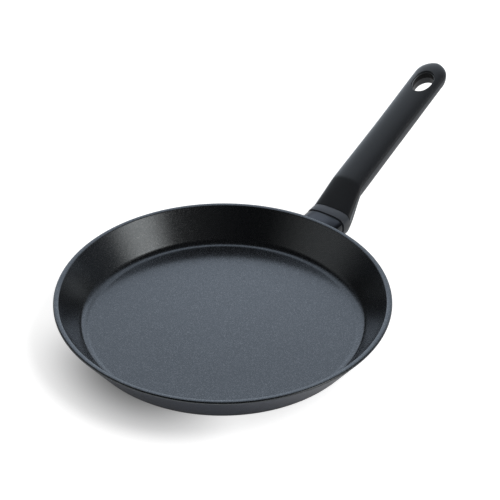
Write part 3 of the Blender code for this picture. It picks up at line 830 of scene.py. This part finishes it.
def cutSocket(core):  # room for the wall boss, the screw's bore and the pocket for its head
    socketEnd = guard["endX"] + fixing["bossReach"] + fixing["gap"]
    startX = handle["startX"] - fixing["socketLength"]
    width = fixing["bossWidth"] + 2 * fixing["gap"]
    height = handle["bandTop"] - handle["bandBottom"] - 2 * (guard["spigotInset"] + fixing["spigotWall"])
    deselectAll()
    bpy.ops.mesh.primitive_cube_add(
        size=1, location=((startX + socketEnd) / 2 * mm, 0, handle["axisZ"] * mm),
        scale=((socketEnd - startX) * mm, width * mm, height * mm),
    )
    socket = added("bossSocket")
    settle(socket)
    edit(socket, "EDGE")
    bpy.ops.mesh.bevel(offset=fixing["socketRound"] * mm, segments=4, affect="EDGES")
    bpy.ops.object.mode_set(mode="OBJECT")
    cutWith(core, socket)
    seatX = socketEnd + fixing["seatWeb"]
    overlap = fixing["boreOverlap"]
    boreRadius = fixing["screwRadius"] + fixing["gap"]
    cutWith(core, roundBar("coreBore", socketEnd - overlap, seatX + overlap, boreRadius, 40))
    pocketEnd = handle["kinkX"] + fixing["pocketReach"]
    cutWith(core, roundBar("headPocket", seatX, pocketEnd, fixing["pocketRadius"], 64))


makeCover()
makeCore()
print("grip cover and handle core moulded")


# Flame guard: an oval sleeve that meets the pan's wall

def makeGuard():
    steps = handle["arcSteps"]
    across = 4 * steps
    lip = guard["lip"]
    half = guard["lipSteps"]
    outer = guard["setback"]
    inner = guard["inside"]
    rows = [("wall", outer)]
    for step in range(half + 1):  # outer half of the rounded lip
        turn = pi / 2 * step / half
        rows.append((guard["endX"] - lip * (1 - sin(turn)), outer + lip * (1 - cos(turn))))
    for step in range(half, 2 * half + 1):  # inner half
        turn = pi / 2 * step / half
        rows.append((guard["endX"] - lip * (1 - sin(turn)), inner - lip * (1 + cos(turn))))
    rows += [("wall", inner), ("wall", outer)]

    def place(column, row):
        where, inset = rows[row]
        turn = 2 * pi * (column % across) / across
        lower = turn > pi
        _, y, z = archPoint(0, handle["startX"], turn - pi if lower else turn, inset, lower)
        if where == "wall":
            return sqrt((outerWall(z) + pan["wallGap"]) ** 2 - y * y), y, z
        return where, y, z

    sleeve = wrapGrid("flameGuard", across, len(rows) - 1, place)
    smooth(sleeve, 40)
    dress(sleeve, guardMetal, "flame_guard")


makeGuard()
print("flame guard drawn")


# Fixing: the boss on the pan's wall, the screw and its two washers

bossLow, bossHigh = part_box("wall_boss")
screwLow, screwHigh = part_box("handle_screw")
boss = {"corner": 3.0, "edge": 0.4, "gap": fixing["gap"], "overshoot": 2, "boreOver": 1, "wallSteps": 720}
screw = {"radius": fixing["screwRadius"], "root": 2.05, "pitch": 0.8, "turns": 14, "chamfer": 0.5,
         "ridgeSunk": 0.1, "ridgeHeights": (0, 0.33, 0.43, 0.76), "ridgeStart": 0.6, "threadSteps": 40,
         "neck": 9, "neckTaper": 0.6, "tip": screwLow[0] / mm, "headTop": screwHigh[0] / mm,
         "headRadius": 4.7, "headHeight": 3.1, "headUnder": 0.2, "domeRound": 1.2, "domeSpread": 1.5,
         "domeRise": 0.85, "domeSteps": 8, "topRadius": 1.6, "topDrop": 0.03,
         "recessLength": 5.4, "recessWidth": 1.2, "recessDepth": 1.7, "recessTaper": 0.55, "recessOver": 1,
         "edge": 0.05, "spinSteps": 64}
washer = {"hole": 2.8, "radius": 5.4, "edge": 0.15, "topEdge": 0.3, "spinSteps": 96,
          "lockRadius": 4.6, "lockEdge": 0.2, "lockSlot": 16, "lockSteps": 72}


def ontoAxis(piece):  # lays a piece that was turned about Z along the screw's axis
    piece.rotation_euler = (0, pi / 2, 0)
    piece.location = (0, 0, handle["axisZ"] * mm)
    settle(piece)


def makeBoss():
    middle = (bossLow + bossHigh) / 2
    size = bossHigh - bossLow
    deselectAll()
    bpy.ops.mesh.primitive_cube_add(size=1, location=middle, scale=size)
    block = added("wallBoss")
    settle(block)
    pick(block, "EDGE", lambda direction: abs(direction.x) > 0.9)
    bpy.ops.mesh.bevel(offset=boss["corner"] * mm, segments=8, affect="EDGES")
    bpy.ops.object.mode_set(mode="OBJECT")
    wallGap = pan["wallGap"]
    over = boss["overshoot"]
    low = bossLow[2] / mm - over
    high = bossHigh[2] / mm + over
    wallLine = [(0, low), (outerWall(low) + wallGap, low), (outerWall(high) + wallGap, high), (0, high)]
    cutWith(block, spinRound(drawLine("wallCone", wallLine), boss["wallSteps"]))
    boreEnd = bossHigh[0] / mm + boss["boreOver"]
    boreRadius = screw["radius"] + boss["gap"]
    cutWith(block, roundBar("bossBore", screw["tip"] - over, boreEnd, boreRadius, 48))
    softBevel(block, boss["edge"], 3, 40)
    smooth(block, 35)
    dress(block, bossMetal, "wall_boss")


def screwLine():  # tip, plain core of the thread, neck, underside and dome of the head
    tip = screw["tip"]
    headBase = screw["headTop"] - screw["headHeight"]
    neckBase = headBase - screw["neck"]
    under = screw["headUnder"]
    points = [(0, tip), (screw["root"] - screw["chamfer"], tip), (screw["root"], tip + screw["chamfer"])]
    points += [(screw["root"], neckBase), (screw["radius"], neckBase + screw["neckTaper"])]
    points += [(screw["radius"], headBase), (screw["headRadius"] - under, headBase)]
    points.append((screw["headRadius"], headBase + under))
    dome = screw["domeRound"]
    for step in range(screw["domeSteps"] + 1):
        turn = pi / 2 * step / screw["domeSteps"]
        radius = screw["headRadius"] - dome * screw["domeSpread"] * (1 - cos(turn))
        points.append((radius, screw["headTop"] - dome + dome * screw["domeRise"] * sin(turn)))
    points += [(screw["topRadius"], screw["headTop"] - screw["topDrop"]), (0, screw["headTop"])]
    return points


def cutCross(body):  # the cross recess in the screw's head
    depth = screw["recessDepth"]
    over = screw["recessOver"]
    share = screw["recessTaper"]
    for turn in (0, pi / 2):
        deselectAll()
        bpy.ops.mesh.primitive_cube_add(
            size=1, location=(0, 0, (screw["headTop"] - depth / 2 + over / 2) * mm), rotation=(0, 0, turn),
            scale=(screw["recessLength"] * mm, screw["recessWidth"] * mm, (depth + over) * mm),
        )
        slot = added("crossSlot")
        settle(slot)
        pick(slot, "FACE", lambda normal: normal.z < -0.9)
        bpy.ops.transform.resize(value=(share, share, 1))
        bpy.ops.object.mode_set(mode="OBJECT")
        cutWith(body, slot)


def makeScrew():
    body = spinRound(drawLine("screwBody", screwLine()), screw["spinSteps"])
    cutCross(body)
    ridgeRoot = screw["root"] - screw["ridgeSunk"]
    ridgeRadii = (ridgeRoot, screw["radius"], screw["radius"], ridgeRoot)
    ridge = list(zip(ridgeRadii, screw["ridgeHeights"]))
    thread = drawLine("screwThread", [*ridge, ridge[0]])
    tidyShell(thread)
    applyModifier(
        thread, "SCREW", angle=2 * pi, screw_offset=screw["pitch"] * mm, iterations=screw["turns"],
        steps=screw["threadSteps"], render_steps=screw["threadSteps"], use_merge_vertices=False,
    )
    closeEnds(thread)
    thread.location = (0, 0, (screw["tip"] + screw["ridgeStart"]) * mm)
    settle(thread)
    whole = joined([body, thread], "handleScrew")
    ontoAxis(whole)
    softBevel(whole, screw["edge"], 2, 50)
    smooth(whole, 35)
    dress(whole, zincSteel, "handle_screw")


def washerLine(box, outer, edge, topEdge):  # section of a washer, as thick as its CAD node's box
    start, end = [corner[0] / mm for corner in box]
    inner = washer["hole"]
    line = [(inner, start + edge), (inner + edge, start), (outer - edge, start), (outer, start + edge)]
    line += [(outer, end - edge), (outer - topEdge, end), (inner + edge, end), (inner, end - edge)]
    return [*line, line[0]]


def makeWashers():
    flatLine = washerLine(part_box("flat_washer"), washer["radius"], washer["edge"], washer["topEdge"])
    flat = spinRound(drawLine("flatWasher", flatLine), washer["spinSteps"])
    ontoAxis(flat)
    smooth(flat, 35)
    dress(flat, zincSteel, "flat_washer")

    slot = radians(washer["lockSlot"])
    lockLine = washerLine(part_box("lock_washer"), washer["lockRadius"], washer["lockEdge"], washer["lockEdge"])
    lock = drawLine("lockWasher", lockLine)
    tidyShell(lock)
    edit(lock)
    bpy.ops.mesh.spin(steps=washer["lockSteps"], angle=2 * pi - slot, center=(0, 0, 0), axis=(0, 0, 1))
    bpy.ops.object.mode_set(mode="OBJECT")
    closeEnds(lock)
    lock.rotation_euler = (0, 0, slot / 2)
    settle(lock)
    ontoAxis(lock)
    smooth(lock, 35)
    dress(lock, zincSteel, "lock_washer")


makeBoss()
makeScrew()
makeWashers()
print("boss, screw and washers made")


# Stage, light and camera

view = {"turn": radians(54.77), "tilt": radians(34.33), "roll": 0.0076419, "distance": 1.1,
        "target": (0.019743, 0, 0.069291), "lens": 109.31, "sensor": 36, "near": 0.05}


def placeCamera():  # the camera looks along +Y in its own frame, which is turned about Z
    away = Vector((0, cos(view["tilt"]), -sin(view["tilt"])))
    right = Vector((1, 0, 0))
    up = right.cross(away)
    rolledRight = right * cos(view["roll"]) + up * sin(view["roll"])
    rolledUp = up * cos(view["roll"]) - right * sin(view["roll"])
    turn = Matrix.Rotation(-view["turn"], 3, "Z")
    spot = turn @ (Vector(view["target"]) - away * view["distance"])
    axes = Matrix((turn @ rolledRight, turn @ rolledUp, turn @ -away)).transposed()
    camera = bpy.data.objects.new("camera", bpy.data.cameras.new("camera"))
    bpy.context.scene.collection.objects.link(camera)
    camera.data.lens = view["lens"]
    camera.data.sensor_width = view["sensor"]
    camera.data.clip_start = view["near"]
    camera.matrix_world = Matrix.Translation(spot) @ axes.to_4x4()
    bpy.context.scene.camera = camera


studio = {
    "dome": 0.50, "sun": 1.9, "sunAngle": 34, "sunAzimuth": 8, "sunHeight": 45,
    "skyTint": rgb(0.89, 0.98, 1.13), "cardTint": rgb(1.05, 1.02, 0.99), "ambient": 0.010,
    "skyTop": 59, "skyTopSoft": 16, "below": 0.30, "belowFrom": -9, "belowSoft": 6,
    # cards in degrees: middle, half width, softness, low edge, softness, high edge, softness, then strength
    "wideCard": (85, 26, 38, -5, 18, 70, 25, 0.44),
    "skyCards": (
        (90, 0, 18, 10, 18, 31.5, 12, 0.63),  # peak straight ahead
        (118, 8, 14, -5, 12, 34, 14, 0.28),  # far corner, on the left
        (62, 8, 14, 4, 6, 28, 10, 0.34),  # far corner, on the right
        (90, 16, 24, 57, 5, 68, 6, 0.28),  # high strip
        (110, 10, 12, -10, 8, 8, 6, 0.8),  # low, for the grip's flank
        (12, 15, 30, -10, 12, 25, 20, 0.05),  # right side
        (165, 20, 30, -10, 12, 25, 20, 0.02),  # left side
    ),
    "sideCards": (
        (-26, 2, 25, 0, 30, 34, 14, 1.54),  # bright card, near and on the right
        (-30, 20, 60, 0, 30, 42, 13, 0.05),  # its wide skirt
        (-168, 5, 42, 2, 15, 34, 12, 0.19),  # card on the left
    ),
    "floor": 0.55, "floorSize": 30, "floorDrop": 0.1,  # size in metres, drop in millimetres
    # the floor's glow, and the painted shadow in it: the glow takes no cast shadow, so it is dimmed in a fixed
    # patch
    "glow": 0.764, "mirroredGlow": 0.036, "shadowHeading": 224.6, "shadowFacing": 0.60, "shadowTurn": 0.50,
    "shadowStart": 0.085, "shadowStartSoft": 0.010, "shadowReach": 0.095, "shadowSoft": 0.070,
}


def makeWorld():
    world = bpy.data.worlds.new("studio")
    bpy.context.scene.world = world
    recipe = Recipe(world)
    ray = recipe.node("ShaderNodeTexCoord", {}, {}, output="Generated")
    turn = view["turn"]

    def along(direction):
        settings = {"operation": "DOT_PRODUCT"}
        return recipe.node("ShaderNodeVectorMath", settings, {0: ray, 1: direction}, output="Value")

    away = along((sin(turn), cos(turn), 0))
    right = along((cos(turn), -sin(turn), 0))
    up = along((0, 0, 1))
    pitch = up.maths("ARCTAN2", up, away) * (180 / pi)  # 0 at the far horizon, 90 overhead
    azimuth = up.maths("ARCTAN2", away, right) * (180 / pi)  # 0 to the right, 90 away from the camera
    rise = up.maths("ARCSINE", up) * (180 / pi)

    def card(middle, half, soft, low, lowSoft, high, highSoft, strength):  # a soft-edged light card
        apart = abs(azimuth - middle)
        sideways = 1 - apart.maths("MINIMUM", apart, 360 - apart).over(half, soft)
        return sideways * rise.over(low, lowSoft) * (1 - rise.over(high, highSoft)) * strength

    overhead = 1 - pitch.over(studio["skyTop"], studio["skyTopSoft"])
    below = (1 - rise.over(studio["belowFrom"], studio["belowSoft"])) * studio["below"]
    sky = card(*studio["wideCard"]) * overhead + studio["ambient"] + below
    for shape in studio["skyCards"]:
        sky = sky + card(*shape)
    cards = sum(card(*shape) for shape in studio["sideCards"])
    skyLight = recipe.node("ShaderNodeBackground", {}, {"Color": studio["skyTint"], "Strength": sky})
    cardLight = recipe.node("ShaderNodeBackground", {}, {"Color": studio["cardTint"], "Strength": cards})
    mirrored = recipe.node("ShaderNodeAddShader", {}, {0: skyLight, 1: cardLight})
    diffuse = recipe.node("ShaderNodeBackground", {}, {"Color": rgb(1, 1, 1), "Strength": studio["dome"]})
    white = recipe.node("ShaderNodeBackground", {}, {"Color": rgb(1, 1, 1), "Strength": 1.0})
    lit = recipe.node("ShaderNodeMixShader", {}, {0: recipe.ray("Is Glossy Ray"), 1: diffuse, 2: mirrored})
    isCamera = recipe.ray("Is Camera Ray")
    isSeen = isCamera.maths("MAXIMUM", isCamera, recipe.ray("Is Transmission Ray"))
    seen = recipe.node("ShaderNodeMixShader", {}, {0: isSeen, 1: lit, 2: white})
    recipe.node("ShaderNodeOutputWorld", {}, {"Surface": seen})


def makeSun():
    data = bpy.data.lights.new("keyLight", "SUN")
    data.energy = studio["sun"]
    data.angle = radians(studio["sunAngle"])
    sun = bpy.data.objects.new("keyLight", data)
    bpy.context.scene.collection.objects.link(sun)
    heading = radians(studio["sunAzimuth"]) - view["turn"]
    height = radians(studio["sunHeight"])
    source = Vector((cos(heading) * cos(height), sin(heading) * cos(height), sin(height)))
    sun.rotation_euler = source.to_track_quat("Z", "Y").to_euler()
    sun.visible_glossy = False


def makeFloor():  # pale floor that glows white to the camera, with a painted shadow where the glow is dimmed beside the pan
    material, recipe = newFinish("paleFloor")
    where = recipe.node("ShaderNodeTexCoord", {}, {}, output="Object")
    heading = radians(studio["shadowHeading"]) - view["turn"]
    settings = {"operation": "DOT_PRODUCT"}
    sockets = {0: where, 1: (cos(heading), sin(heading), 0)}
    reach = recipe.node("ShaderNodeVectorMath", settings, sockets, output="Value")
    radius, _ = recipe.turned(where)
    # painted shadow: the glow is dimmed in a fixed, soft patch beside the pan, facing one heading
    facing = (reach / radius).over(studio["shadowFacing"], studio["shadowTurn"])
    shadow = facing * radius.over(studio["shadowStart"], studio["shadowStartSoft"])
    shadow = shadow * (1 - radius.over(studio["shadowReach"], studio["shadowSoft"]))
    glow = (1 - shadow) * studio["glow"]
    isCamera = recipe.ray("Is Camera Ray")
    shown = isCamera.maths("MAXIMUM", isCamera, recipe.ray("Is Transmission Ray"))
    shown = shown.maths("MAXIMUM", shown, recipe.ray("Is Glossy Ray") * studio["mirroredGlow"])
    grey = rgb(studio["floor"], studio["floor"], studio["floor"])
    matte = recipe.node("ShaderNodeBsdfDiffuse", {}, {"Color": grey})
    shine = recipe.node("ShaderNodeEmission", {}, {"Color": rgb(1, 1, 1), "Strength": shown * glow})
    both = recipe.node("ShaderNodeAddShader", {}, {0: matte, 1: shine})
    recipe.node("ShaderNodeOutputMaterial", {}, {"Surface": both})
    deselectAll()
    bpy.ops.mesh.primitive_plane_add(size=studio["floorSize"], location=(0, 0, -studio["floorDrop"] * mm))
    floor = added("floor")
    floor.data.materials.append(material)


placeCamera()
makeWorld()
makeSun()
makeFloor()
bpy.context.scene.view_settings.view_transform = "Standard"
print("stage, light and camera set")

deselectAll()
